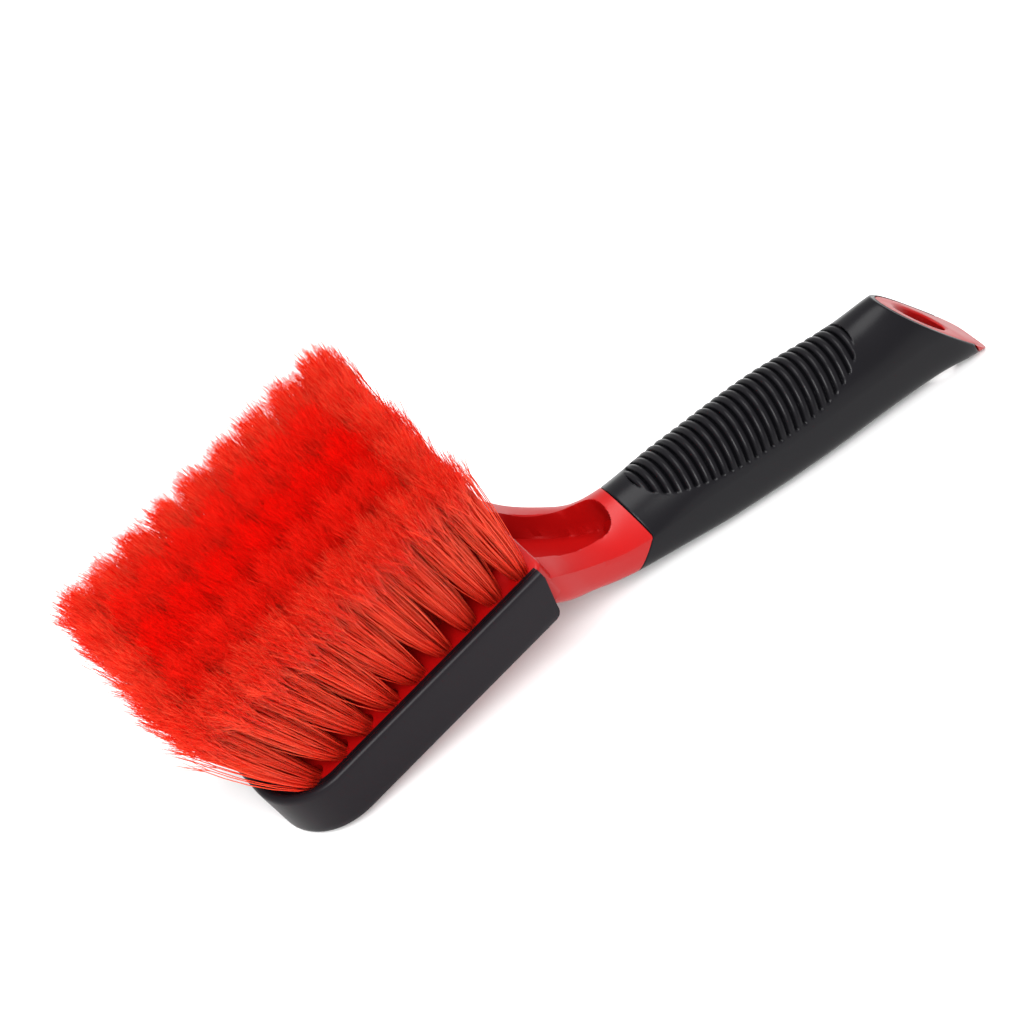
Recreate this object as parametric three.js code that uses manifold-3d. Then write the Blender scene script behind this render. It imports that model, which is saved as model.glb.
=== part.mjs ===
// Wheel brush: short-handled brush for car wheels, millimetres, +Z up.
// It is drawn in the head's own frame (x toward the handle, y across, z toward the bristle
// tips, z = 0 on the face that carries the tufts) and then laid on its back, bristles up.
import * as THREE from 'three';
import { mergeVertices } from 'three/addons/utils/BufferGeometryUtils.js';
import Module from 'manifold-3d';

const wasm = await Module();
wasm.setup();

// Clearance left between pieces that touch on the real brush.
const GAP = 0.3;

// Head block, the red moulding that carries the tufts.
const HEAD = { far: -58.3, near: 52.5, halfWidth: 30, back: -16, farRadius: 17.5, nearRadius: 5 };

// Tufts: five rows across, wire-stapled into blind holes, splayed to a wide trimmed crown.
const TUFT = { pitch: 11.4, rowPitch: 11.1, holeRadius: 2.9, depth: 10, length: 71 };
const CROWN = { shift: -8, stretch: 1.2, spread: 1.62, stagger: 1.2, edgeDrop: 3, seam: 0.4 };
const ROWS = [
  { row: -2, count: 9, start: 45.5 },
  { row: -1, count: 9, start: 39.8 },
  { row: 0, count: 9, start: 45.5 },
  { row: 1, count: 9, start: 39.8 },
  { row: 2, count: 9, start: 45.5 },
];

// Rubber bumper round the head: wall thickness, rim above the tuft face, lip over the block.
const BUMPER = { wall: 5.5, rim: 4.2, lip: 2.2, back: -16.5, end: 51, endBottom: 46.5 };

// Neck and handle: centre line of the top, the back, half width, and where the arch starts.
const HANDLE = [
  { x: 34, top: -0.8, back: -15.9, half: 29.4, shoulder: -2.5 },
  { x: 44, top: -0.6, back: -19.2, half: 29.6, shoulder: -2.5 },
  { x: 52, top: -6, back: -27.6, half: 28, shoulder: -8.5 },
  { x: 60, top: -16.5, back: -36, half: 23, shoulder: -19.5 },
  { x: 68, top: -24, back: -43.5, half: 19.7, shoulder: -28 },
  { x: 76, top: -26.6, back: -49.2, half: 17.4, shoulder: -35 },
  { x: 88, top: -28.5, back: -54.8, half: 16.4, shoulder: -40.5 },
  { x: 113, top: -32.6, back: -64.6, half: 16.4, shoulder: -47 },
  { x: 147, top: -38.6, back: -74.4, half: 16.4, shoulder: -57 },
  { x: 180, top: -49.2, back: -83, half: 15, shoulder: -66.5 },
  { x: 198, top: -52.2, back: -89, half: 13.9, shoulder: -71.5 },
  { x: 208, top: -56, back: -93.5, half: 13.4, shoulder: -76.5 },
  { x: 216, top: -63, back: -98, half: 11.2, shoulder: -82 },
];
const ARCH = { neck: 1.6, grip: 1.05, from: 86, to: 106 };
const BELLY_POWER = 5;
const SKIN = 3;
const SLEEVE = { top: 86.5, kneeHeight: -38.8, backStart: 73.5, backHeight: -47, tip: 212.5 };
const END_FACE = { topX: 198, topZ: -55, backX: 216, backZ: -98 };

// Slope of the head when the brush lies on its back on the bumper and the end of the handle.
const restAngle = Math.atan2(98 + BUMPER.back, 213.5 - (HEAD.far - BUMPER.wall));

// Thumb pad: a leaf of raised ribs sunk into the top of the grip.
const PAD = { start: 94.3, end: 182, ribs: 26, wrap: 1.37, depth: 1.2, lean: 0.4 };

// Openings in the red moulding.
const POCKET = { start: 53, end: 82, halfWidth: 16, endRadius: 11, floor: 5.5 };
const HANG_HOLE = { x: 201.9, z: -81.8, halfLength: 7.6, halfWidth: 7.4 };

const COLOURS = { red: 0xc41414, black: 0x2c2b2e, bristle: 0xe0220f };

function toManifold(geometry) {
  const bare = geometry.index ? geometry.toNonIndexed() : geometry.clone();
  bare.deleteAttribute('normal');
  bare.deleteAttribute('uv');
  const merged = mergeVertices(bare, 1e-4);
  return new wasm.Manifold(new wasm.Mesh({
    numProp: 3,
    vertProperties: new Float32Array(merged.attributes.position.array),
    triVerts: new Uint32Array(merged.index.array),
  }));
}

function toGeometry(solid) {
  const mesh = solid.getMesh();
  const geometry = new THREE.BufferGeometry();
  geometry.setAttribute('position', new THREE.BufferAttribute(mesh.vertProperties, 3));
  geometry.setIndex(new THREE.BufferAttribute(mesh.triVerts, 1));
  const flat = geometry.toNonIndexed();
  flat.computeVertexNormals();
  return flat;
}

// Closed skin over a list of rings that all hold the same number of points.
function loft(rings) {
  const count = rings[0].length;
  const positions = rings.flat().flatMap((point) => [point.x, point.y, point.z]);
  const faces = [];
  for (let i = 0; i + 1 < rings.length; i += 1) {
    for (let j = 0; j < count; j += 1) {
      const a = i * count + j;
      const b = i * count + ((j + 1) % count);
      faces.push(a, b, b + count, a, b + count, a + count);
    }
  }
  const last = (rings.length - 1) * count;
  for (let j = 1; j + 1 < count; j += 1) {
    faces.push(0, j + 1, j, last, last + j, last + j + 1);
  }
  const geometry = new THREE.BufferGeometry();
  geometry.setAttribute('position', new THREE.Float32BufferAttribute(positions, 3));
  geometry.setIndex(faces);
  return geometry;
}

// Solid standing on a plan outline, between two heights.
function standing(points, low, high) {
  const shape = new THREE.Shape(points);
  const options = { depth: high - low, bevelEnabled: false, curveSegments: 8 };
  const geometry = new THREE.ExtrudeGeometry(shape, options);
  return toManifold(geometry.translate(0, 0, low));
}

// Slab across the brush, from an outline drawn in the side view (x, z).
function acrossBrush(outline, halfWidth = 60) {
  const shape = new THREE.Shape(outline.map(([x, z]) => new THREE.Vector2(x, z)));
  const geometry = new THREE.ExtrudeGeometry(shape, { depth: 2 * halfWidth, bevelEnabled: false });
  return toManifold(geometry.rotateX(Math.PI / 2).translate(0, halfWidth, 0));
}

function arc(cx, cy, radius, from, to, steps) {
  const points = [];
  for (let i = 0; i <= steps; i += 1) {
    const angle = THREE.MathUtils.degToRad(from + ((to - from) * i) / steps);
    points.push(new THREE.Vector2(cx + radius * Math.cos(angle), cy + radius * Math.sin(angle)));
  }
  return points;
}

// Smooth value of one handle measure at a place along the handle.
function along(x, key) {
  let i = 0;
  while (i + 2 < HANDLE.length && x > HANDLE[i + 1].x) {
    i += 1;
  }
  const p = HANDLE[Math.max(i - 1, 0)];
  const a = HANDLE[i];
  const b = HANDLE[i + 1];
  const q = HANDLE[Math.min(i + 2, HANDLE.length - 1)];
  const span = b.x - a.x;
  const t = (x - a.x) / span;
  const slopeA = ((b[key] - p[key]) / (b.x - p.x)) * span;
  const slopeB = ((q[key] - a[key]) / (q.x - a.x)) * span;
  const cubic = 2 * (a[key] - b[key]) + slopeA + slopeB;
  const square = 3 * (b[key] - a[key]) - 2 * slopeA - slopeB;
  return ((cubic * t + square) * t + slopeA) * t + a[key];
}

const signedPower = (value, power) => Math.sign(value) * Math.abs(value) ** power;

// Shape of the arch: low and creased over the neck, full and round over the grip.
function archPower(x) {
  const share = THREE.MathUtils.clamp((x - ARCH.from) / (ARCH.to - ARCH.from), 0, 1);
  return ARCH.neck + (ARCH.grip - ARCH.neck) * share;
}

// Half angle of the pad round the arch at a place along the handle, zero outside the leaf.
function padWrap(x) {
  const s = (x - PAD.start) / (PAD.end - PAD.start);
  if (s <= 0 || s >= 1) {
    return 0;
  }
  return PAD.wrap * (1 - Math.abs(2 * s - 1) ** 2.4) ** 0.42;
}

// Depth of the ribbed pad below the plain grip surface; angle is measured from the top.
function padSink(x, angle) {
  const room = padWrap(x) - Math.abs(angle);
  if (room <= 0) {
    return 0;
  }
  const edge = Math.min(1, room / 0.08);
  const drop = (along(x, 'top') - along(x, 'shoulder')) * (1 - Math.cos(angle) ** archPower(x));
  const phase = ((x + PAD.lean * drop - PAD.start) / (PAD.end - PAD.start)) * PAD.ribs;
  return PAD.depth * edge * (0.5 + 0.5 * Math.cos(2 * Math.PI * phase));
}

// One upright ring round the handle, inset all round by skin.
function handleRing(x, skin, segments, ribbed) {
  const half = along(x, 'half') - skin;
  const shoulder = along(x, 'shoulder');
  const rise = along(x, 'top') - skin - shoulder;
  const fall = shoulder - along(x, 'back') - skin;
  const arch = archPower(x);
  const ring = [];
  for (let j = 0; j < segments; j += 1) {
    const angle = ((j + 0.5) / segments) * 2 * Math.PI;
    const upper = Math.cos(angle) > 0;
    const fromTop = angle > Math.PI ? angle - 2 * Math.PI : angle;
    const sink = ribbed && upper ? padSink(x, fromTop) : 0;
    const y = half * signedPower(Math.sin(angle), upper ? 1 : 2 / BELLY_POWER);
    const z = (upper ? rise : fall) * signedPower(Math.cos(angle), upper ? arch : 2 / BELLY_POWER);
    const keep = 1 - sink / Math.hypot(y, z);
    ring.push(new THREE.Vector3(x, y * keep, shoulder + z * keep));
  }
  return ring;
}

function handleSolid(from, to, step, skin, segments, ribbed = false) {
  const count = Math.max(1, Math.round((to - from) / step));
  const rings = [];
  for (let i = 0; i <= count; i += 1) {
    rings.push(handleRing(from + ((to - from) * i) / count, skin, segments, ribbed));
  }
  return toManifold(loft(rings.map((ring) => ring.reverse())));
}

// Side-view outline of everything on the bristle-ward and handle-ward side of the end cut.
function endCut() {
  const slope = (END_FACE.backX - END_FACE.topX) / (END_FACE.backZ - END_FACE.topZ);
  const high = -20;
  const low = -112;
  const topX = END_FACE.topX + (high - END_FACE.topZ) * slope;
  const lowX = END_FACE.topX + (low - END_FACE.topZ) * slope;
  return acrossBrush([[topX, high], [lowX, low], [250, low], [250, high]]);
}

// Side-view outline that the grip sleeve fills, moved toward the handle end by shift.
function sleeveSpan(shift, tip) {
  const { top, kneeHeight, backStart, backHeight } = SLEEVE;
  return acrossBrush([
    [top + shift, 0], [top + shift, kneeHeight], [top - 2 + shift, kneeHeight - 2],
    [backStart + shift, backHeight], [backStart - 2 + shift, backHeight - 3],
    [backStart - 2 + shift, -120], [tip, -120], [tip, 0],
  ]);
}

function headOutline(inset) {
  const { far, near, halfWidth, farRadius, nearRadius } = HEAD;
  const side = halfWidth - inset;
  const r = farRadius - inset;
  return [
    ...arc(near - nearRadius, side - nearRadius, nearRadius, 0, 90, 4),
    ...arc(far + inset + r, side - r, r, 90, 180, 10),
    ...arc(far + inset + r, r - side, r, 180, 270, 10),
    ...arc(near - nearRadius, nearRadius - side, nearRadius, 270, 360, 4),
  ];
}

function tuftPlaces() {
  return ROWS.flatMap(({ row, count, start }) => Array.from({ length: count }, (_, i) => ({
    name: `tuft_row${row + 3}_${i + 1}`,
    x: start - i * TUFT.pitch,
    y: row * TUFT.rowPitch,
    tipX: CROWN.shift + (4 - i) * TUFT.pitch * CROWN.stretch - (row % 2 ? CROWN.stagger : 0),
    row,
  })));
}

function tuftHole({ x, y }) {
  const cylinder = new THREE.CylinderGeometry(TUFT.holeRadius, TUFT.holeRadius, TUFT.depth + 4, 8);
  return toManifold(cylinder.rotateX(Math.PI / 2).translate(x, y, 2 - TUFT.depth / 2));
}

// Pocket in the neck: straight block end, two arms, rounded end, floor of even thickness.
function pocketCutter() {
  const { start, end, halfWidth, endRadius, floor } = POCKET;
  const outline = [
    new THREE.Vector2(start, -halfWidth),
    ...arc(end - endRadius, 0, endRadius, -75, 75, 10),
    new THREE.Vector2(start, halfWidth),
  ];
  const below = [[end + 4, -100], [start - 4, -100]];
  for (let x = start - 4; x <= end + 4; x += 4) {
    below.push([x, along(x, 'back') + floor]);
  }
  return standing(outline, -60, 20).subtract(acrossBrush(below));
}

// Oval hanging hole, upright when the brush lies on its back.
function hangHoleCutter(margin) {
  const { halfLength, halfWidth } = HANG_HOLE;
  const cylinder = new THREE.CylinderGeometry(1, 1, 120, 20).rotateX(Math.PI / 2);
  cylinder.scale(halfLength + margin, halfWidth + margin, 1).rotateY(restAngle);
  return toManifold(cylinder.translate(HANG_HOLE.x, 0, HANG_HOLE.z));
}

// Red moulding: head block, neck, handle core and hanging end in one piece.
function bodySolid() {
  const block = standing(headOutline(0), HEAD.back, 0);
  const outer = handleSolid(34, 216, 4, 0, 28);
  const neck = outer.subtract(sleeveSpan(0, SLEEVE.tip));
  const core = handleSolid(60, 215, 6, SKIN + GAP, 20);
  let body = block.add(neck).add(core.subtract(acrossBrush([[0, 20], [0, -120], [76, -120], [76, 20]])));
  body = body.subtract(pocketCutter()).subtract(endCut()).subtract(hangHoleCutter(0));
  return tuftPlaces().reduce((solid, place) => solid.subtract(tuftHole(place)), body);
}

// Black overmoulded grip with the ribbed thumb pad.
function sleeveSolid() {
  const shell = handleSolid(66, 214, (PAD.end - PAD.start) / PAD.ribs / 4, 0, 28, true);
  const core = handleSolid(60, 216, 6, SKIN, 20);
  const trimmed = shell.intersect(sleeveSpan(GAP, SLEEVE.tip - GAP)).subtract(core);
  return trimmed.subtract(endCut()).subtract(hangHoleCutter(GAP));
}

// Section of the bumper: n runs inward from the outer wall.
function bumperSection() {
  const { wall, rim, lip, back } = BUMPER;
  return [
    [1, back], [0, back + 1], [0, rim - 2], [0.8, rim - 0.5], [2.2, rim], [3.4, rim - 0.6],
    [wall + lip, GAP + 0.4], [wall + lip, GAP], [wall - GAP, GAP], [wall - GAP, back],
  ];
}

// Black rubber bumper, a U round the block, open at the neck.
function bumperSolid() {
  const { far, halfWidth, farRadius } = HEAD;
  const { wall, end, endBottom, back, rim } = BUMPER;
  const r = farRadius;
  const stations = [{ x: end, y: -halfWidth, nx: 0, ny: -1 }];
  const corners = [[halfWidth - r, 180, 90], [r - halfWidth, 270, 180]];
  for (const [cy, from, to] of corners.reverse()) {
    for (let i = 0; i <= 8; i += 1) {
      const angle = THREE.MathUtils.degToRad(from + ((to - from) * i) / 8);
      const [nx, ny] = [Math.cos(angle), Math.sin(angle)];
      stations.push({ x: far + r + r * nx, y: cy + r * ny, nx, ny });
    }
  }
  stations.push({ x: end, y: halfWidth, nx: 0, ny: 1 });
  const rings = stations.map(({ x, y, nx, ny }) => bumperSection().map(([n, z]) => (
    new THREE.Vector3(x + nx * (wall - n), y + ny * (wall - n), z))));
  const taper = acrossBrush([
    [end - 1, rim + 1], [end - 1, 1], [endBottom, back + 5], [endBottom - 5, back],
    [endBottom - 5, back - 2], [end + 5, back - 2], [end + 5, rim + 1],
  ]);
  return toManifold(loft(rings)).subtract(taper);
}

// A tuft: round in its hole, opening to its share of the crown.
function tuftSolid({ x, y, tipX, row }) {
  const { stretch, spread, edgeDrop, seam } = CROWN;
  const lift = TUFT.length - (edgeDrop * row * row) / 4;
  const halfX = (TUFT.pitch * stretch - seam) / 2;
  const halfY = (TUFT.rowPitch * spread - seam) / 2;
  const radius = TUFT.holeRadius - GAP;
  const level = (z, square) => Array.from({ length: 8 }, (_, j) => {
    const angle = (j / 8) * 2 * Math.PI;
    const [c, s] = [Math.cos(angle), Math.sin(angle)];
    const reach = 1 / Math.max(Math.abs(c), Math.abs(s));
    const sx = (1 - square) * radius * c + square * (tipX - x + halfX * reach * c);
    const sy = (1 - square) * radius * s + square * (y * (spread - 1) + halfY * reach * s);
    return new THREE.Vector3(x + sx, y + sy, z);
  });
  return toManifold(loft([level(GAP - TUFT.depth, 0), level(1, 0), level(lift, 1)]));
}

const group = new THREE.Group();
group.name = 'wheel_brush';

function place(name, solid, colour, roughness) {
  const geometry = toGeometry(solid).rotateY(-restAngle);
  const material = new THREE.MeshStandardMaterial({ color: colour, roughness, metalness: 0 });
  const mesh = new THREE.Mesh(geometry, material);
  mesh.name = name;
  group.add(mesh);
}

place('body_core', bodySolid(), COLOURS.red, 0.3);
place('grip_sleeve', sleeveSolid(), COLOURS.black, 0.6);
place('head_bumper', bumperSolid(), COLOURS.black, 0.55);
tuftPlaces().forEach((tuft) => place(tuft.name, tuftSolid(tuft), COLOURS.bristle, 0.5));

// Stand the brush on the origin: middle of its length and width, lowest point at zero.
const box = new THREE.Box3().setFromObject(group);
const middle = box.getCenter(new THREE.Vector3());
group.children.forEach((mesh) => mesh.geometry.translate(-middle.x, -middle.y, -box.min.z));

export default group;
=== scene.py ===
"""Looks of a short-handled wheel brush: red moulding, soft black grip and bumper, splayed bristles.

Shapes are drawn in the head's frame, in millimetres: x toward the handle, y across, z toward the
bristle tips, z = 0 on the face that carries the tufts. lay_down() puts them in the row frame.
"""
import math

import bmesh
import bpy
import numpy as np
from mathutils import Matrix, Vector


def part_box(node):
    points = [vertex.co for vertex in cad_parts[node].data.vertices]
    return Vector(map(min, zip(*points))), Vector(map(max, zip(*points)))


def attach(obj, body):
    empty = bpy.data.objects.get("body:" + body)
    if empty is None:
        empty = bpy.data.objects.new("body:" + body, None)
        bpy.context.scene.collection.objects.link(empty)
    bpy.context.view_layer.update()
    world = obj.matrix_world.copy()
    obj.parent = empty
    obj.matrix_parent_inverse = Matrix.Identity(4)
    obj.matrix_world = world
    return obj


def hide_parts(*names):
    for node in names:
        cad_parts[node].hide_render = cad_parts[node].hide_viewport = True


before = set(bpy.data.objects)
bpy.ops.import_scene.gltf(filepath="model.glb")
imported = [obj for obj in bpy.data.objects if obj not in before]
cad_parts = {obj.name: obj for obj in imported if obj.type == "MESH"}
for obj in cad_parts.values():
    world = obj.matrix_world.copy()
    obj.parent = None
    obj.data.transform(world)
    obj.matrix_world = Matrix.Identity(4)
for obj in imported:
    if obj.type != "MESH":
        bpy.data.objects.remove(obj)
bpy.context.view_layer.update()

GAP = 0.3

# Head block and the rubber bumper round it.
HEAD = {"far": -58.3, "near": 52.5, "half": 30.0, "back": -16.0, "far_radius": 17.5, "near_radius": 5.0}
BUMPER = {"wall": 5.5, "rim": 4.2, "lip": 2.2, "back": -16.5, "end": 51.0, "end_bottom": 46.5}

# Tufts: pitch along and across the block, and how the crown opens above it.
TUFT = {"pitch": 11.4, "row_pitch": 11.1, "hole": 2.9, "depth": 10.0, "length": 71.0}
CROWN = {"shift": -8.0, "stretch": 1.2, "spread": 1.62, "edge_drop": 3.0}
# Rows on the far side lean outward and stand taller, by this much for each row from the middle.
LEAN = {"out": 1.8, "rise": 1.2}
ROW_STARTS = {-2: 45.5, -1: 39.8, 0: 45.5, 1: 39.8, 2: 45.5}
TUFTS_PER_ROW = 9
FIRST_HALF = 5

# Filaments: where they start in the hole, how unevenly the tips fall, how far a strand bows
# and how soon it splays out from its root.
ROOT_DEPTH = 6.0
UNEVEN = (3.0, 3.2, 2.4)
BOW = 1.7
SPLAY_POWER = 0.84
STEM_STEPS = 6
HAIR_STEPS = 3

# Handle measures at stations along x: height of the top, of the back, half width, shoulder height.
HANDLE = np.array([
    (34, -0.8, -15.9, 29.4, -2.5),
    (44, -0.6, -19.2, 29.6, -2.5),
    (52, -6.0, -27.6, 28.0, -8.5),
    (60, -16.5, -36.0, 23.0, -19.5),
    (68, -24.0, -43.5, 19.7, -28.0),
    (76, -26.6, -49.2, 17.4, -35.0),
    (88, -28.5, -54.8, 16.4, -40.5),
    (113, -32.6, -64.6, 16.4, -47.0),
    (147, -38.6, -74.4, 16.4, -57.0),
    (180, -49.2, -83.0, 15.0, -66.5),
    (198, -52.2, -89.0, 13.9, -71.5),
    (208, -56.0, -93.5, 13.4, -76.5),
    (216, -63.0, -98.0, 11.2, -82.0),
])
ARCH = {"neck": 1.6, "grip": 1.05, "from": 86.0, "to": 106.0}
BELLY_POWER = 5.0

# Grip thickness, how much thinner it gets at the slanted end, and over what length.
SKIN = 3.0
THINNING = 1.6
THINNED_LENGTH = 6.0
CORE_START = 88.0
END_FACE = {"top": (198.0, -55.0), "back": (216.0, -98.0)}
SLEEVE = {"top": 86.5, "knee": -38.6, "back": 71.5, "tip": 212.5}
POCKET = {"start": 53.0, "end": 82.0, "half": 16.0, "end_half": 11.0, "floor": 5.5}
HANG_HOLE = {"x": 201.9, "z": -81.8, "half_length": 7.6, "half_width": 7.4, "lip": 1.3}

# Thumb pad: its leaf outline is a power curve, and its ribs lean as they run down the sides.
PAD = {"start": 94.3, "end": 182.0, "ribs": 26, "wrap": 1.37, "depth": 1.3, "lean": 0.4}
PAD_LEAF = {"power": 2.4, "root": 0.42, "edge": 0.045}
RIB_POWER = 0.8

# The brush lies on the far bottom edge of its bumper and on the end of its handle.
HANDLE_FOOT = {"x": 213.5, "z": -98.0}
REST_ANGLE = math.atan2(BUMPER["back"] - HANDLE_FOOT["z"], HANDLE_FOOT["x"] - HEAD["far"] + BUMPER["wall"])


def head_matrix():
    """Head frame in millimetres to row frame in metres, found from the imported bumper's box."""
    turn = Matrix.Rotation(-REST_ANGLE, 4, "Y") @ Matrix.Diagonal((0.001, 0.001, 0.001, 1))
    nose = turn @ Vector((HEAD["far"] - BUMPER["wall"], 0, BUMPER["rim"] - 2))
    heel = turn @ Vector((HEAD["far"] - BUMPER["wall"] + 1, 0, BUMPER["back"]))
    heel_low = min(heel.z, (turn @ Vector((HEAD["far"] - BUMPER["wall"], 0, BUMPER["back"] + 1))).z)
    low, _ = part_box("head_bumper")
    return Matrix.Translation((low.x - nose.x, 0, low.z - heel_low)) @ turn


LAY = head_matrix()


# ---------------------------------------------------------------- mesh helpers

def new_object(name, vertices, faces):
    mesh = bpy.data.meshes.new(name)
    mesh.from_pydata([tuple(v) for v in vertices], [], faces)
    mesh.update()
    piece = bpy.data.objects.new(name, mesh)
    bpy.context.scene.collection.objects.link(piece)
    return piece


def loft(rings):
    """Vertices and faces of a closed skin over rings of equal length, with both ends capped."""
    count = len(rings[0])
    vertices = np.concatenate(rings)
    faces = []
    for i in range(len(rings) - 1):
        for j in range(count):
            a, b = i * count + j, i * count + (j + 1) % count
            faces.append((a, b, b + count, a + count))
    last = (len(rings) - 1) * count
    faces.append(tuple(range(count - 1, -1, -1)))
    faces.append(tuple(range(last, last + count)))
    return vertices, faces


def mend(piece):
    """Outward normals on one clean shell."""
    bm = bmesh.new()
    bm.from_mesh(piece.data)
    bmesh.ops.remove_doubles(bm, verts=bm.verts, dist=1e-4)
    bmesh.ops.recalc_face_normals(bm, faces=bm.faces)
    bm.to_mesh(piece.data)
    bm.free()


def loft_object(name, rings):
    piece = new_object(name, *loft(rings))
    mend(piece)
    return piece


def combine(piece, tool, operation):
    """Boolean of two closed pieces, kept as plain mesh; the tool is used up."""
    cut = piece.modifiers.new("cut", "BOOLEAN")
    cut.operation = operation
    cut.solver = "MANIFOLD"
    cut.object = tool
    done = bpy.data.meshes.new_from_object(piece.evaluated_get(bpy.context.evaluated_depsgraph_get()))
    piece.modifiers.remove(cut)
    old = piece.data
    piece.data = done
    bpy.data.meshes.remove(old)
    bpy.data.objects.remove(tool)
    return piece


def soften(piece, degrees):
    """Smooth shading that keeps edges sharper than the angle."""
    piece.data.shade_smooth()
    piece.data.set_sharp_from_angle(angle=math.radians(degrees))


def lay_down(piece, material, replaces=()):
    """Head frame to row frame, then hand the piece to the frame."""
    piece.data.transform(LAY)
    piece.data.materials.clear()
    piece.data.materials.append(material)
    piece.data.name = piece.name
    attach(piece, "root")
    if replaces:
        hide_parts(*replaces)
    return piece


# ---------------------------------------------------------------- handle shapes

def along(x, column):
    """Smooth handle measure: 1 top, 2 back, 3 half width, 4 shoulder."""
    x = np.asarray(x, float)
    stations = HANDLE[:, 0]
    values = HANDLE[:, column]
    slopes = np.gradient(values, stations)
    slopes[1:-1] = (values[2:] - values[:-2]) / (stations[2:] - stations[:-2])
    i = np.clip(np.searchsorted(stations, x) - 1, 0, len(stations) - 2)
    span = stations[i + 1] - stations[i]
    t = (x - stations[i]) / span
    a, b, ga, gb = values[i], values[i + 1], slopes[i] * span, slopes[i + 1] * span
    return ((2 * (a - b) + ga + gb) * t + (3 * (b - a) - 2 * ga - gb)) * t * t + ga * t + a


def signed_power(value, power):
    return np.sign(value) * np.abs(value) ** power


def section_angles(count):
    return (np.arange(count) + 0.5) / count * 2 * math.pi - math.pi


def soft_step(value):
    value = np.clip(value, 0, 1)
    return value * value * (3 - 2 * value)


def arch_power(x):
    """Low and creased over the neck, full and round over the grip."""
    share = np.clip((x - ARCH["from"]) / (ARCH["to"] - ARCH["from"]), 0, 1)
    return ARCH["neck"] + (ARCH["grip"] - ARCH["neck"]) * share


def pad_groove(x, angle):
    """1 on the floor of the pad's grooves, 0 on its ribs and on the plain grip."""
    s = np.clip((x - PAD["start"]) / (PAD["end"] - PAD["start"]), 0, 1)
    wrap = PAD["wrap"] * (1 - np.abs(2 * s - 1) ** PAD_LEAF["power"]) ** PAD_LEAF["root"]
    inside = soft_step((wrap - np.abs(angle)) / PAD_LEAF["edge"])
    drop = (along(x, 1) - along(x, 4)) * (1 - np.maximum(np.cos(angle), 0) ** arch_power(x))
    phase = (x + PAD["lean"] * drop - PAD["start"]) / (PAD["end"] - PAD["start"]) * PAD["ribs"]
    return inside * (1 - np.abs(np.sin(math.pi * phase)) ** RIB_POWER)


def handle_ring(x, angles, inset=0.0, ribbed=False):
    """Ring round the handle, angle from the top; x may differ from point to point."""
    x = np.broadcast_to(np.asarray(x, float), angles.shape)
    half = along(x, 3) - inset
    shoulder = along(x, 4)
    up = np.cos(angles) > 0
    height = np.where(up, along(x, 1) - inset - shoulder, shoulder - along(x, 2) - inset)
    y = half * signed_power(np.sin(angles), np.where(up, 1, 2 / BELLY_POWER))
    z = height * signed_power(np.cos(angles), np.where(up, arch_power(x), 2 / BELLY_POWER))
    if ribbed:
        keep = 1 - PAD["depth"] * pad_groove(x, angles) * up / np.hypot(y, z)
        y, z = y * keep, z * keep
    return np.stack([x, y, shoulder + z], axis=1)


def halve(angles, low, high, is_beyond):
    """x for each angle where is_beyond turns true, by halving."""
    low, high = np.full(angles.shape, float(low)), np.full(angles.shape, float(high))
    for _ in range(30):
        middle = (low + high) / 2
        beyond = is_beyond(middle)
        high = np.where(beyond, middle, high)
        low = np.where(beyond, low, middle)
    return low


def end_x(angles, inset):
    """Where the handle skin meets the slanted end face."""
    (tx, tz), (bx, bz) = END_FACE["top"], END_FACE["back"]
    return halve(angles, 180, 216, lambda x: (x - tx) * (tz - bz)
                 + (handle_ring(x, angles, inset)[:, 2] - tz) * (bx - tx) > 0)


def skin_near_end(x, finish):
    """Thickness of the grip, thinner where it surrounds the slanted end face."""
    return SKIN - THINNING * soft_step(1 - (finish - x) / THINNED_LENGTH)


def seam_x(angles):
    """Where grip and neck meet: straight over the arch, swept back toward the head on the sides."""
    bend = 2.5

    def is_grip(x):
        drop = np.maximum(0, SLEEVE["knee"] - handle_ring(x, angles)[:, 2])
        return x > np.maximum(SLEEVE["top"] - 2 * (np.hypot(drop, bend) - bend), SLEEVE["back"])

    return halve(angles, 60, 90, is_grip)


# ---------------------------------------------------------------- red moulding

def head_outline(inset, steps=10):
    """Plan of the head block, round at the far end."""
    corners = [
        (HEAD["near"] - HEAD["near_radius"], 1, 0, HEAD["near_radius"]),
        (HEAD["far"] + HEAD["far_radius"], 1, 90, HEAD["far_radius"]),
        (HEAD["far"] + HEAD["far_radius"], -1, 180, HEAD["far_radius"]),
        (HEAD["near"] - HEAD["near_radius"], -1, 270, HEAD["near_radius"]),
    ]
    points = []
    for cx, side, start, radius in corners:
        cy = side * (HEAD["half"] - radius)
        for angle in np.radians(np.linspace(start, start + 90, steps)):
            reach = radius - inset
            points.append((cx + reach * math.cos(angle), cy + reach * math.sin(angle)))
    return np.array(points)


def level(points, z):
    return np.column_stack([points, np.full(len(points), z)])


def head_block():
    edge = 1.4
    rings = [level(head_outline(edge), HEAD["back"]), level(head_outline(0), HEAD["back"] + edge)]
    for angle in np.radians(np.linspace(0, 90, 6)):
        rings.append(level(head_outline(edge * (1 - math.cos(angle))), edge * (math.sin(angle) - 1)))
    return loft_object("head_block", rings)


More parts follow.
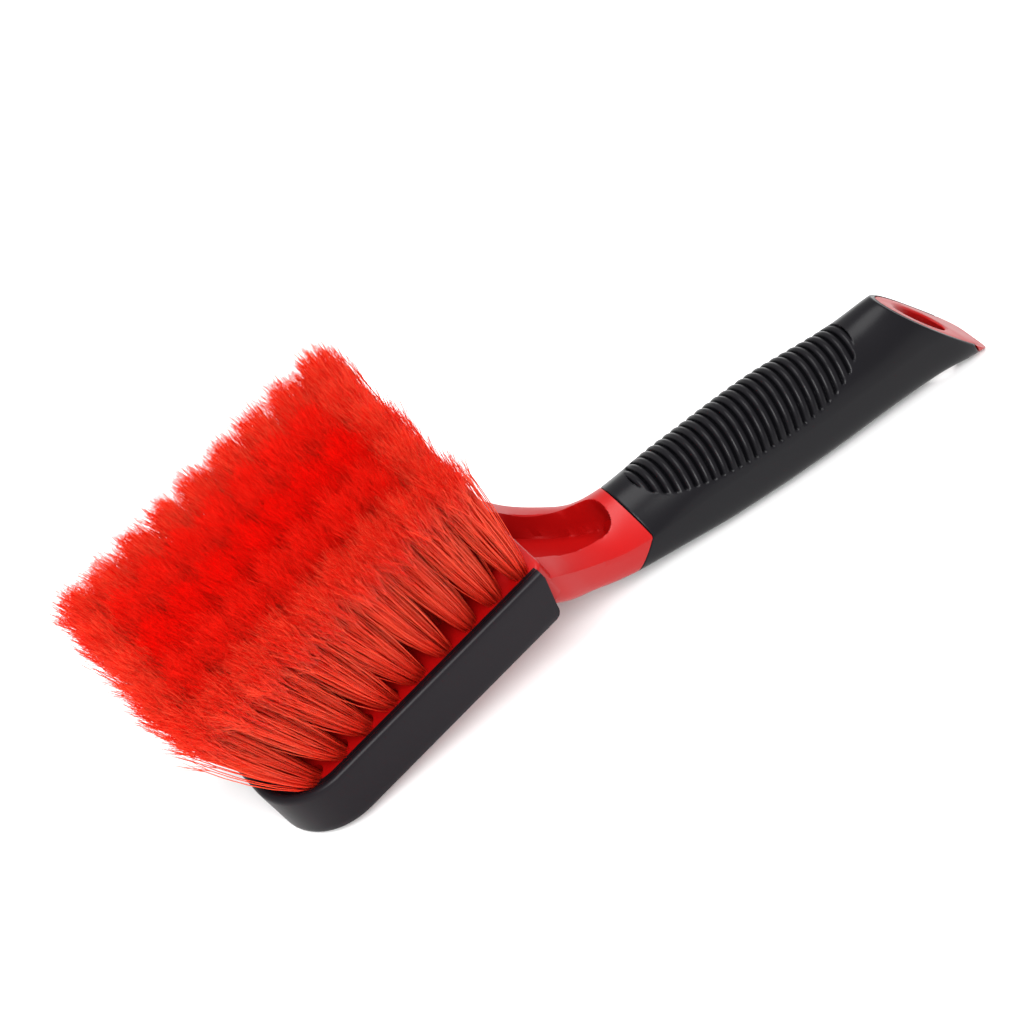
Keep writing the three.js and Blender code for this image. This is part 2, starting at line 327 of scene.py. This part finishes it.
def pocketed(name, start, finish, angles, inset, spare):
    """Neck skin whose top is pressed down into the pocket, with a soft rim."""
    end_centre = POCKET["end"] - POCKET["end_half"]
    rings = []
    for share in np.linspace(0, 1, 130):
        ring = handle_ring(start + (finish - start) * share, angles, inset)
        x, y, z = ring.T
        nearing = np.clip((x - POCKET["start"]) / (end_centre - POCKET["start"]), 0, 1)
        half = POCKET["half"] + (POCKET["end_half"] - POCKET["half"]) * nearing
        reach = (np.maximum(x - end_centre, 0) ** 2.5 + np.abs(y) ** 2.5) ** 0.4
        sink = soft_step((half + spare - reach) / 1.7) * (np.cos(angles) > 0)
        floor = along(x, 2) + POCKET["floor"] - spare
        ring[:, 2] += (np.minimum(floor, z) - z) * sink
        rings.append(ring)
    return loft_object(name, rings)


def neck():
    angles = section_angles(200)
    return pocketed("neck", 34.0, seam_x(angles) - GAP, angles, 0, 0)


def neck_core():
    """Part of the neck that the grip covers from below."""
    return pocketed("neck_core", 62.0, 92.0, section_angles(120), SKIN + GAP, 0.4)


def handle_core():
    angles = section_angles(96)
    cover = SKIN - THINNING + GAP
    finish = end_x(angles, cover)
    rings = []
    for share in np.concatenate([np.linspace(0, 0.93, 40), np.linspace(0.935, 0.995, 14)]):
        x = CORE_START + (finish - CORE_START) * share
        rings.append(handle_ring(x, angles, skin_near_end(x, finish) + GAP))
    rings += [handle_ring(finish - back, angles, cover + inset) for back, inset in ((0.15, 0.1), (0, 0.4))]
    return loft_object("core", rings)


def side_prism(name, profile):
    """Prism across the whole brush from a side-view outline."""
    flat = np.array(profile, float)
    ends = [np.column_stack([flat[:, 0], np.full(len(flat), y), flat[:, 1]]) for y in (-50, 50)]
    return loft_object(name, ends)


def bare_tip():
    """Full-width end of the moulding, beyond the grip and under the slanted face."""
    angles = section_angles(96)
    tip = loft_object("tip", [handle_ring(x, angles) for x in np.linspace(206, 216, 12)])
    (tx, tz), (bx, bz) = END_FACE["top"], END_FACE["back"]
    slope = (bz - tz) / (bx - tx)
    wedge = [(SLEEVE["tip"], -120), (218, -120), (218, tz + (218 - tx) * slope),
             (SLEEVE["tip"], tz + (SLEEVE["tip"] - tx) * slope)]
    return combine(tip, side_prism("wedge_tool", wedge), "INTERSECT")


def hanging_hole_tool(margin=0.0):
    """Oval cutter, upright in the row frame, flared where it meets the slanted face."""
    (tx, tz), (bx, bz) = END_FACE["top"], END_FACE["back"]
    slope = (bz - tz) / (bx - tx)
    turn = np.linspace(0, 2 * math.pi, 64, endpoint=False)
    lean = math.tan(REST_ANGLE)
    lip = HANG_HOLE["lip"]
    rings = []
    rounded = [(lip * (1 - math.cos(angle)), angle) for angle in np.radians(np.linspace(0, 90, 8))]
    depths = [(-14, 0)] + rounded + [(60, 0)]
    for depth, angle in depths:
        flare = lip if depth <= 0 else lip * (1 - math.sin(angle)) if depth < 50 else 0
        x = HANG_HOLE["x"] + (HANG_HOLE["half_length"] + margin + flare) * np.cos(turn)
        y = (HANG_HOLE["half_width"] + margin + flare) * np.sin(turn)
        rise = (tz + (x - tx) * slope - HANG_HOLE["z"]) / (1 - slope * lean)
        z = HANG_HOLE["z"] + rise - depth
        rings.append(np.stack([x + (z - HANG_HOLE["z"]) * lean, y, z], axis=1))
    return loft_object("hole_tool", rings)


def tuft_places():
    places = []
    for row, start in ROW_STARTS.items():
        for i in range(TUFTS_PER_ROW):
            stagger = 1.2 if row % 2 else 0.0
            x = start - i * TUFT["pitch"]
            tip = CROWN["shift"] + (4 - i) * TUFT["pitch"] * CROWN["stretch"] - stagger
            places.append((row, x, row * TUFT["row_pitch"], tip))
    return places


def tuft_hole_tool():
    turn = np.linspace(0, 2 * math.pi, 16, endpoint=False)
    vertices, faces = [], []
    for _, x, y, _ in tuft_places():
        circle = np.column_stack([x + TUFT["hole"] * np.cos(turn), y + TUFT["hole"] * np.sin(turn)])
        part, skin = loft([level(circle, -TUFT["depth"]), level(circle, 3)])
        faces += [tuple(index + len(vertices) for index in face) for face in skin]
        vertices += list(part)
    piece = new_object("holes_tool", vertices, faces)
    mend(piece)
    return piece


def red_moulding(material):
    body = head_block()
    for part in (neck(), neck_core(), handle_core(), bare_tip()):
        combine(body, part, "UNION")
    for tool in (tuft_hole_tool(), hanging_hole_tool()):
        combine(body, tool, "DIFFERENCE")
    body.name = "moulded_body"
    soften(body, 35)
    return lay_down(body, material, ["body_core"])


# ---------------------------------------------------------------- grip and bumper

def grip(material):
    """Overmoulded sleeve with the ribbed pad, rolled over at both ends."""
    crowding, ring_count, roll = 0.28, 430, 0.8
    even = section_angles(190)
    angles = even - crowding * np.sin(even)
    start = seam_x(angles)
    finish = np.minimum(end_x(angles, 0), SLEEVE["tip"] - GAP)
    inner_finish = np.minimum(end_x(angles, SKIN - THINNING), SLEEVE["tip"] - GAP)
    rings = [handle_ring(start, angles, 0.5), handle_ring(start + 0.15, angles, 0.15)]
    stations = [start + 0.5 + (finish - start - 1.3) * share for share in np.linspace(0, 1, ring_count)]
    rings += [handle_ring(x, angles, 0, True) for x in stations]
    # The groove mask below is stored as the groove attribute; the grip material uses it only to paint shade
    # into the pad's grooves.
    grooves = [np.zeros(len(angles))] * 2 + [pad_groove(x, angles) * (np.cos(angles) > 0) for x in stations]
    for degrees in (30, 60, 90):
        turn = math.radians(degrees)
        rings.append(handle_ring(finish - roll * (1 - math.sin(turn)), angles, roll * (1 - math.cos(turn))))
    inner = []
    for share in np.concatenate([np.linspace(0, 0.07, 8), np.linspace(0.1, 1, 18)]):
        x = inner_finish + (start - inner_finish) * share
        inner.append(handle_ring(x, angles, skin_near_end(x, inner_finish)))
    grooves += [np.zeros(len(angles))] * (3 + len(inner))
    rings += inner
    count = len(angles)
    faces = []
    for i in range(len(rings)):
        for j in range(count):
            a, b = i * count + j, i * count + (j + 1) % count
            c = (i + 1) % len(rings) * count
            faces.append((a, b, c + (j + 1) % count, c + j))
    piece = new_object("soft_grip", np.concatenate(rings), faces)
    piece.data.attributes.new("groove", "FLOAT", "POINT").data.foreach_set("value", np.concatenate(grooves))
    mend(piece)
    combine(piece, hanging_hole_tool(GAP), "DIFFERENCE")
    soften(piece, 50)
    return lay_down(piece, material, ["grip_sleeve"])


def bumper_section():
    """Section of the bumper: n runs inward from the outer wall."""
    wall, rim, lip, back = BUMPER["wall"], BUMPER["rim"], BUMPER["lip"], BUMPER["back"]
    points = [(1.2, back), (0.35, back + 0.35), (0, back + 1.2)]
    points += [(0, z) for z in np.linspace(back + 3, rim - 2.6, 6)]
    for angle in np.radians(np.linspace(15, 165, 9)):
        points.append((1.8 - 1.8 * math.cos(angle), rim - 1.8 + 1.8 * math.sin(angle)))
    points += [(wall - 1, rim - 2.7), (wall + 0.8, rim - 3.4)]
    points += [(wall + lip, GAP + 0.25), (wall + lip, GAP), (wall - GAP, GAP), (wall - GAP, back)]
    return np.array(points)


def rubber_bumper(material):
    wall, end = BUMPER["wall"], BUMPER["end"]
    radius = HEAD["far_radius"]
    stations = [(end - i * 4, -HEAD["half"], 0, -1) for i in range(22)]
    for cy, start in ((radius - HEAD["half"], 270), (HEAD["half"] - radius, 180)):
        for angle in np.radians(np.linspace(start, start - 90, 24)):
            nx, ny = math.cos(angle), math.sin(angle)
            stations.append((HEAD["far"] + radius + radius * nx, cy + radius * ny, nx, ny))
    stations += [(end - i * 4, HEAD["half"], 0, 1) for i in range(21, -1, -1)]
    section = bumper_section()
    rings = []
    for x, y, nx, ny in stations:
        out = wall - section[:, 0]
        rings.append(np.column_stack([x + nx * out, y + ny * out, section[:, 1]]))
    piece = loft_object("rubber_bumper", rings)
    rim, back, low = BUMPER["rim"], BUMPER["back"], BUMPER["end_bottom"]
    profile = [(end - 1, rim + 2), (end - 1, 1)]
    for angle in np.radians(np.linspace(0, 90, 7)):
        profile.append((low - 5 + 5 * math.cos(angle) + 0.3, back + 5 - 5 * math.sin(angle)))
    profile += [(low - 5, back - 3), (end + 6, back - 3), (end + 6, rim + 2)]
    combine(piece, side_prism("taper_tool", profile), "DIFFERENCE")
    soften(piece, 40)
    return lay_down(piece, material, ["head_bumper"])


# ---------------------------------------------------------------- bristles

class Tree:
    """Short way to write a geometry node tree."""

    def __init__(self, name):
        self.group = bpy.data.node_groups.new(name, "GeometryNodeTree")
        self.sockets = {}
        self.input("Geometry", "NodeSocketGeometry")
        self.group.interface.new_socket("Geometry", in_out="OUTPUT", socket_type="NodeSocketGeometry")
        self.start = self.group.nodes.new("NodeGroupInput")
        self.end = self.group.nodes.new("NodeGroupOutput")

    def input(self, name, kind):
        socket = self.group.interface.new_socket(name, in_out="INPUT", socket_type=kind)
        self.sockets[name] = socket.identifier

    def value(self, name):
        return self.start.outputs[name]

    def add(self, kind, inputs=None, out=0, **settings):
        node = self.group.nodes.new(kind)
        for key, setting in settings.items():
            setattr(node, key, setting)
        for key, source in (inputs or {}).items():
            if isinstance(source, bpy.types.NodeSocket):
                self.group.links.new(source, node.inputs[key])
            else:
                node.inputs[key].default_value = source
        return node.outputs[out]

    def math(self, operation, a, b=0.0):
        return self.add("ShaderNodeMath", {0: a, 1: b}, operation=operation)

    def vector(self, operation, a, b=(0, 0, 0)):
        return self.add("ShaderNodeVectorMath", {0: a, 1: b}, operation=operation)

    def scale(self, vector, factor):
        return self.add("ShaderNodeVectorMath", {0: vector, "Scale": factor}, operation="SCALE")

    def xyz(self, x, y, z):
        return self.add("ShaderNodeCombineXYZ", {0: x, 1: y, 2: z})

    def random(self, low, high, seed):
        return self.add("FunctionNodeRandomValue", {2: low, 3: high, "ID": self.add("GeometryNodeInputIndex"),
                                                    "Seed": seed}, out=1, data_type="FLOAT")

    def random_vector(self, reach, seed):
        return self.add("FunctionNodeRandomValue", {0: (-reach,) * 3, 1: (reach,) * 3,
                                                    "ID": self.add("GeometryNodeInputIndex"), "Seed": seed},
                        out=0, data_type="FLOAT_VECTOR")

    def named(self, name, kind):
        out = {"FLOAT_VECTOR": 0, "FLOAT": 0}[kind]
        return self.add("GeometryNodeInputNamedAttribute", {"Name": name}, out=out, data_type=kind)

    def store(self, geometry, name, value, kind):
        inputs = {"Geometry": geometry, "Name": name, "Value": value}
        return self.add("GeometryNodeStoreNamedAttribute", inputs, data_type=kind, domain="POINT")

    def copies(self, points, amount):
        return self.add("GeometryNodeDuplicateElements", {0: points, "Amount": amount}, domain="POINT")


def bristle_tree():
    """Filaments from each tuft root to its share of the crown, each ending in split hairs."""
    tree = Tree("bristle_tuft")
    for name, kind in (("Filaments", "Int"), ("Hairs", "Int"), ("Root radius", "Float"),
                       ("Reach along", "Float"), ("Reach across", "Float"), ("Dome", "Float"),
                       ("Thickness", "Float"), ("Split", "Float"), ("Fray", "Float"),
                       ("Seed", "Int"), ("Material", "Material")):
        tree.input(name, f"NodeSocket{kind}")
    seed = tree.value("Seed")
    points = tree.add("GeometryNodeMeshToPoints", {0: tree.value("Geometry")})
    points = tree.copies(points, tree.value("Filaments"))
    turn = tree.random(0.0, 2 * math.pi, seed)
    reach = tree.math("SQRT", tree.random(0.0, 1.0, tree.math("ADD", seed, 1.0)))
    ux = tree.math("MULTIPLY", tree.math("COSINE", turn), reach)
    uy = tree.math("MULTIPLY", tree.math("SINE", turn), reach)
    place = tree.add("GeometryNodeInputPosition")
    radius = tree.value("Root radius")
    root = tree.vector("ADD", place, tree.scale(tree.xyz(ux, uy, 0.0), radius))
    fan = tree.vector("MULTIPLY", tree.xyz(ux, uy, 0.0),
                      tree.xyz(tree.value("Reach along"), tree.value("Reach across"), 0.0))
    uneven = tree.vector("MULTIPLY", tree.random_vector(1.0, tree.math("ADD", seed, 2.0)), UNEVEN)
    fall = tree.math("MULTIPLY", tree.value("Dome"), -1.0)
    dome = tree.xyz(0.0, 0.0, tree.math("MULTIPLY", tree.math("POWER", reach, 3.0), fall))
    spread = tree.vector("ADD", tree.named("crown", "FLOAT_VECTOR"), fan)
    tip = tree.vector("ADD", spread, tree.vector("ADD", uneven, dome))
    bend = tree.random_vector(BOW, tree.math("ADD", seed, 3.0))
    points = tree.store(points, "root", root, "FLOAT_VECTOR")
    points = tree.store(points, "tip", tip, "FLOAT_VECTOR")
    points = tree.store(points, "bend", bend, "FLOAT_VECTOR")
    points = tree.store(points, "tint", tree.random(0.0, 1.0, tree.math("ADD", seed, 4.0)), "FLOAT")

    def strand(source, steps, start, finish, radius_at, fray):
        line = tree.add("GeometryNodeCurvePrimitiveLine")
        line = tree.add("GeometryNodeResampleCurve", {0: line, "Count": steps})
        curves = tree.add("GeometryNodeInstanceOnPoints", {"Points": source, "Instance": line})
        curves = tree.add("GeometryNodeRealizeInstances", {0: curves})
        local = tree.add("GeometryNodeSplineParameter")
        t = tree.add("ShaderNodeMapRange", {"Value": local, "To Min": start, "To Max": finish})
        lateral = tree.math("POWER", t, SPLAY_POWER)
        a, b = tree.named("root", "FLOAT_VECTOR"), tree.named("tip", "FLOAT_VECTOR")
        run = tree.vector("SUBTRACT", b, a)
        path = tree.vector("ADD", a, tree.vector("MULTIPLY", run, tree.xyz(lateral, lateral, t)))
        belly = tree.math("SINE", tree.math("MULTIPLY", t, math.pi))
        path = tree.vector("ADD", path, tree.scale(tree.named("bend", "FLOAT_VECTOR"), belly))
        if fray is not None:
            loose = tree.scale(tree.named("fray", "FLOAT_VECTOR"), tree.math("POWER", local, 1.4))
            path = tree.vector("ADD", path, tree.scale(loose, fray))
        curves = tree.add("GeometryNodeSetPosition", {0: curves, "Position": path})
        thick = tree.math("MULTIPLY", tree.value("Thickness"), radius_at(local))
        curves = tree.store(curves, "along", t, "FLOAT")
        profile = tree.add("GeometryNodeCurvePrimitiveCircle", {"Resolution": 3, "Radius": 1.0})
        return tree.add("GeometryNodeCurveToMesh", {0: curves, 1: profile, "Scale": thick, "Fill Caps": True})

    split = tree.value("Split")
    stems = strand(points, STEM_STEPS, 0.0, tree.math("ADD", split, 0.04),
                   lambda local: tree.math("SUBTRACT", 1.0, tree.math("MULTIPLY", local, 0.25)), None)
    hairs = tree.copies(points, tree.value("Hairs"))
    hairs = tree.store(hairs, "fray", tree.random_vector(1.0, tree.math("ADD", seed, 5.0)), "FLOAT_VECTOR")
    fringe = strand(hairs, HAIR_STEPS, split, 1.0,
                    lambda local: tree.math("SUBTRACT", 0.5, tree.math("MULTIPLY", local, 0.32)),
                    tree.value("Fray"))
    both = tree.add("GeometryNodeJoinGeometry")
    join = both.node
    tree.group.links.new(stems, join.inputs[0])
    tree.group.links.new(fringe, join.inputs[0])
    whole = tree.add("GeometryNodeRealizeInstances", {0: both})
    whole = tree.add("GeometryNodeSetMaterial", {0: whole, "Material": tree.value("Material")})
    tree.group.links.new(whole, tree.end.inputs[0])
    return tree


def crown_height(row):
    """Trim height of a row: lower toward both sides, raised on the far one."""
    return TUFT["length"] - CROWN["edge_drop"] * row * row / 4 + LEAN["rise"] * max(row, 0)


def grow_bristles(tree, name, places, settings, material):
    """One plain mesh of filaments for a list of (row, x, y, tip x)."""
    seedbed = new_object(name, [(x, y, -ROOT_DEPTH) for _, x, y, _ in places], [])
    for key, kind in (("crown", "FLOAT_VECTOR"), ("outer", "FLOAT")):
        seedbed.data.attributes.new(key, kind, "POINT")
    crown, outer = seedbed.data.attributes["crown"], seedbed.data.attributes["outer"]
    whole_row = [x for row, x, *_ in tuft_places() if row == places[0][0]]
    ends = (min(whole_row), max(whole_row))
    for i, (row, x, y, tip) in enumerate(places):
        across = y * CROWN["spread"] + LEAN["out"] * max(row, 0)
        crown.data[i].vector = (tip, across, crown_height(row))
        # This mask sets how much painted light through the fibres each tuft's tips get: full on the outermost
        # tufts, less toward the middle.
        outer.data[i].value = 1.0 if abs(row) == 2 or x in ends else 0.25 * abs(row)
    grower = seedbed.modifiers.new("bristles", "NODES")
    grower.node_group = tree.group
    for key, setting in dict(settings, Material=material).items():
        grower[tree.sockets[key]] = setting
    bpy.context.view_layer.update()
    scene_state = bpy.context.evaluated_depsgraph_get()
    grown = bpy.data.meshes.new_from_object(
        seedbed.evaluated_get(scene_state), preserve_all_data_layers=True, depsgraph=scene_state)
    seedbed.modifiers.remove(grower)
    bare = seedbed.data
    seedbed.data = grown
    bpy.data.meshes.remove(bare)
    for spare in ("root", "tip", "bend", "fray", "crown"):
        if spare in grown.attributes:
            grown.attributes.remove(grown.attributes[spare])
    grown.shade_smooth()
    return seedbed


def bristles(material):
    tree = bristle_tree()
    settings = {"Filaments": 270, "Hairs": 5, "Root radius": TUFT["hole"] - 0.3,
                "Reach along": 6.8, "Reach across": 9.6, "Dome": 4.2, "Thickness": 0.23, "Split": 0.82,
                "Fray": 2.6}
    for row in ROW_STARTS:
        places = [place for place in tuft_places() if place[0] == row]
        number = row + 3
        for half, part in (("a", places[:FIRST_HALF]), ("b", places[FIRST_HALF:])):
            seeded = dict(settings, Seed=100 * number + (50 if half == "b" else 0))
            piece = grow_bristles(tree, f"bristles_row{number}{half}", part, seeded, material)
            first = 1 if half == "a" else FIRST_HALF + 1
            nodes = [f"tuft_row{number}_{first + i}" for i in range(len(part))]
            lay_down(piece, material, nodes)


def tuft_staples(material):
    """Flat anchor wire across the fold of each tuft, at the bottom of its hole."""
    vertices, faces = [], []
    size = np.array([0.25, 2.3, 0.8])
    corners = np.array([(sx, sy, sz) for sx in (-1, 1) for sy in (-1, 1) for sz in (-1, 1)]) * size
    sides = [(0, 1, 3, 2), (4, 6, 7, 5), (0, 4, 5, 1), (2, 3, 7, 6), (0, 2, 6, 4), (1, 5, 7, 3)]
    for _, x, y, _ in tuft_places():
        faces += [tuple(index + len(vertices) for index in side) for side in sides]
        vertices += list(corners + np.array([x, y, -TUFT["depth"] + 1.4]))
    piece = new_object("tuft_staples", vertices, faces)
    mend(piece)
    return lay_down(piece, material)


# ---------------------------------------------------------------- materials

def new_material(name, colour, roughness, **inputs):
    material = bpy.data.materials.new(name)
    material.use_nodes = True
    shader = material.node_tree.nodes["Principled BSDF"]
    shader.inputs["Base Color"].default_value = (*colour, 1)
    shader.inputs["Roughness"].default_value = roughness
    for key, value in inputs.items():
        shader.inputs[key.replace("_", " ")].default_value = value
    return material


def moulded_plastic():
    """Satin red polypropylene with the faint waviness of a moulding."""
    material = new_material("red_moulding", (0.25, 0.001, 0.001), 0.4, Specular_IOR_Level=0.2)
    nodes, links = material.node_tree.nodes, material.node_tree.links
    shader = nodes["Principled BSDF"]
    shader.inputs["Subsurface Weight"].default_value = 0.08
    shader.inputs["Subsurface Radius"].default_value = (0.004, 0.001, 0.001)
    place = nodes.new("ShaderNodeTexCoord")
    ripple = nodes.new("ShaderNodeTexNoise")
    ripple.inputs["Scale"].default_value = 90
    bump = nodes.new("ShaderNodeBump")
    bump.inputs["Strength"].default_value = 0.05
    bump.inputs["Distance"].default_value = 0.0006
    links.new(place.outputs["Object"], ripple.inputs["Vector"])
    links.new(ripple.outputs["Fac"], bump.inputs["Height"])
    links.new(bump.outputs["Normal"], shader.inputs["Normal"])
    return material


def soft_rubber(name, colour, roughness):
    """Satin black rubber with a fine spark-eroded grain."""
    material = new_material(name, colour, roughness, Specular_IOR_Level=0.09)
    nodes, links = material.node_tree.nodes, material.node_tree.links
    shader = nodes["Principled BSDF"]
    place = nodes.new("ShaderNodeTexCoord")
    grain = nodes.new("ShaderNodeTexNoise")
    grain.inputs["Scale"].default_value = 2500
    bump = nodes.new("ShaderNodeBump")
    bump.inputs["Strength"].default_value = 0.12
    bump.inputs["Distance"].default_value = 0.0002
    links.new(place.outputs["Object"], grain.inputs["Vector"])
    links.new(grain.outputs["Fac"], bump.inputs["Height"])
    links.new(bump.outputs["Normal"], shader.inputs["Normal"])
    return material


def paint_groove_shade(material):
    """Painted shade: the pad's grooves are made blacker and duller than its ribs, standing in for the shade
    that falls in them.
    """
    nodes, links = material.node_tree.nodes, material.node_tree.links
    shader = nodes["Principled BSDF"]
    groove = nodes.new("ShaderNodeAttribute")
    groove.attribute_name = "groove"
    depth = nodes.new("ShaderNodeMapRange")
    depth.inputs["From Min"].default_value = 0.15
    depth.inputs["From Max"].default_value = 0.6
    depth.inputs["To Max"].default_value = 0.9
    # Near-black diffuse mixed in by the groove mask: painted shade in the grooves.
    groove_shade_black = nodes.new("ShaderNodeBsdfDiffuse")
    groove_shade_black.inputs["Color"].default_value = (0.0012, 0.0012, 0.0015, 1)
    mix = nodes.new("ShaderNodeMixShader")
    links.new(groove.outputs["Fac"], depth.inputs["Value"])
    links.new(depth.outputs["Result"], mix.inputs["Fac"])
    links.new(shader.outputs["BSDF"], mix.inputs[1])
    links.new(groove_shade_black.outputs["BSDF"], mix.inputs[2])
    links.new(mix.outputs["Shader"], nodes["Material Output"].inputs["Surface"])


def filament():
    """Deep red filament, with painted light on it: a painted highlight makes each stem lighter and more
    orange toward its middle, and painted light shining through the fibres makes the tips light orange in the
    outer tufts.
    """
    deep_root, deep_tip = (0.9, 0.012, 0.006, 1), (1.0, 0.012, 0.004, 1)
    material = new_material("red_filament", (0.9, 0.03, 0.012), 0.4, Specular_IOR_Level=0.4)
    nodes, links = material.node_tree.nodes, material.node_tree.links
    shader = nodes["Principled BSDF"]
    along_strand = nodes.new("ShaderNodeAttribute")
    along_strand.attribute_name = "along"
    tint = nodes.new("ShaderNodeAttribute")
    tint.attribute_name = "tint"
    ramp = nodes.new("ShaderNodeValToRGB")
    ramp.color_ramp.elements[0].position = 0.0
    ramp.color_ramp.elements[0].color = deep_root
    ramp.color_ramp.elements[1].position = 1.0
    ramp.color_ramp.elements[1].color = deep_tip
    # Painted highlight: lighter, more orange stem colour here, for the light caught by the strands.
    middle = ramp.color_ramp.elements.new(0.6)
    middle.color = (1.0, 0.14, 0.06, 1)
    outer = nodes.new("ShaderNodeAttribute")
    outer.attribute_name = "outer"
    # Painted light through the fibres: the tips of the outer tufts turn light orange.
    lit_through_ramp = nodes.new("ShaderNodeValToRGB")
    lit_through_ramp.color_ramp.elements[0].position = 0.0
    lit_through_ramp.color_ramp.elements[0].color = deep_root
    lit_through_ramp.color_ramp.elements[1].position = 0.45
    lit_through_ramp.color_ramp.elements[1].color = (1.0, 0.21, 0.1, 1)
    share = nodes.new("ShaderNodeMath")
    share.operation = "MULTIPLY"
    blend = nodes.new("ShaderNodeMix")
    blend.data_type = "RGBA"
    vary = nodes.new("ShaderNodeMapRange")
    vary.inputs["To Min"].default_value = 0.85
    vary.inputs["To Max"].default_value = 1.0
    shade = nodes.new("ShaderNodeVectorMath")
    shade.operation = "SCALE"
    links.new(along_strand.outputs["Fac"], ramp.inputs["Fac"])
    links.new(tint.outputs["Fac"], vary.inputs["Value"])
    links.new(along_strand.outputs["Fac"], lit_through_ramp.inputs["Fac"])
    links.new(outer.outputs["Fac"], share.inputs[0])
    links.new(tint.outputs["Fac"], share.inputs[1])
    links.new(share.outputs["Value"], blend.inputs["Factor"])
    links.new(ramp.outputs["Color"], blend.inputs[6])
    links.new(lit_through_ramp.outputs["Color"], blend.inputs[7])
    links.new(blend.outputs[2], shade.inputs[0])
    links.new(vary.outputs["Result"], shade.inputs["Scale"])
    links.new(shade.outputs["Vector"], shader.inputs["Base Color"])
    through = nodes.new("ShaderNodeBsdfTranslucent")
    links.new(shade.outputs["Vector"], through.inputs["Color"])
    mix = nodes.new("ShaderNodeMixShader")
    mix.inputs["Fac"].default_value = 0.75
    output = nodes["Material Output"]
    links.new(shader.outputs["BSDF"], mix.inputs[1])
    links.new(through.outputs["BSDF"], mix.inputs[2])
    links.new(mix.outputs["Shader"], output.inputs["Surface"])
    return material


# ---------------------------------------------------------------- stage

def add_light(name, place, size, power):
    """Square lamp aimed at the middle of the brush."""
    light = bpy.data.lights.new(name, "AREA")
    light.size = size
    light.energy = power
    lamp = bpy.data.objects.new(name, light)
    lamp.location = place
    lamp.rotation_euler = (Vector((0, 0, 0.04)) - Vector(place)).to_track_quat("-Z", "Y").to_euler()
    bpy.context.scene.collection.objects.link(lamp)


def stage():
    bpy.context.scene.view_settings.view_transform = "Standard"
    floor = new_object("floor", [(-6, -6, 0), (6, -6, 0), (6, 6, 0), (-6, 6, 0)], [(0, 1, 2, 3)])
    floor.data.materials.append(new_material("floor_white", (0.72, 0.72, 0.72), 0.9))
    world = bpy.data.worlds.new("studio")
    bpy.context.scene.world = world
    world.use_nodes = True
    world.node_tree.nodes["Background"].inputs["Color"].default_value = (1, 1, 1, 1)
    world.node_tree.nodes["Background"].inputs["Strength"].default_value = 0.85
    add_light("overhead", (0.1, 0.1, 1.2), 0.8, 18)
    add_light("key", (-0.45, -0.85, 0.95), 0.7, 32)


def camera():
    """Long lens, above the near side of the brush, tilted on its own axis."""
    azimuth, elevation, roll = math.radians(-17.75), math.radians(40.1), math.radians(-21.34)
    distance = 1.2993
    aim = Vector((-0.0178, -0.0026, 0.0508))
    back = Vector((math.sin(azimuth) * math.cos(elevation), -math.cos(azimuth) * math.cos(elevation),
                   math.sin(elevation)))
    view = bpy.data.cameras.new("view")
    view.lens = 140.6
    view.sensor_width = 36
    eye = bpy.data.objects.new("view", view)
    turn = (-back).to_track_quat("-Z", "Y").to_matrix().to_4x4() @ Matrix.Rotation(roll, 4, "Z")
    eye.matrix_world = Matrix.Translation(aim + back * distance) @ turn
    bpy.context.scene.collection.objects.link(eye)
    bpy.context.scene.camera = eye


red = moulded_plastic()
black = soft_rubber("grip_black", (0.0045, 0.0042, 0.0052), 0.29)
# Painted shade in the pad's grooves.
paint_groove_shade(black)
black_bumper = soft_rubber("bumper_black", (0.006, 0.0045, 0.006), 0.36)
steel = new_material("staple_steel", (0.55, 0.55, 0.53), 0.35, Metallic=1.0)
strands = filament()

red_moulding(red)
grip(black)
rubber_bumper(black_bumper)
bristles(strands)
tuft_staples(steel)
stage()
camera()
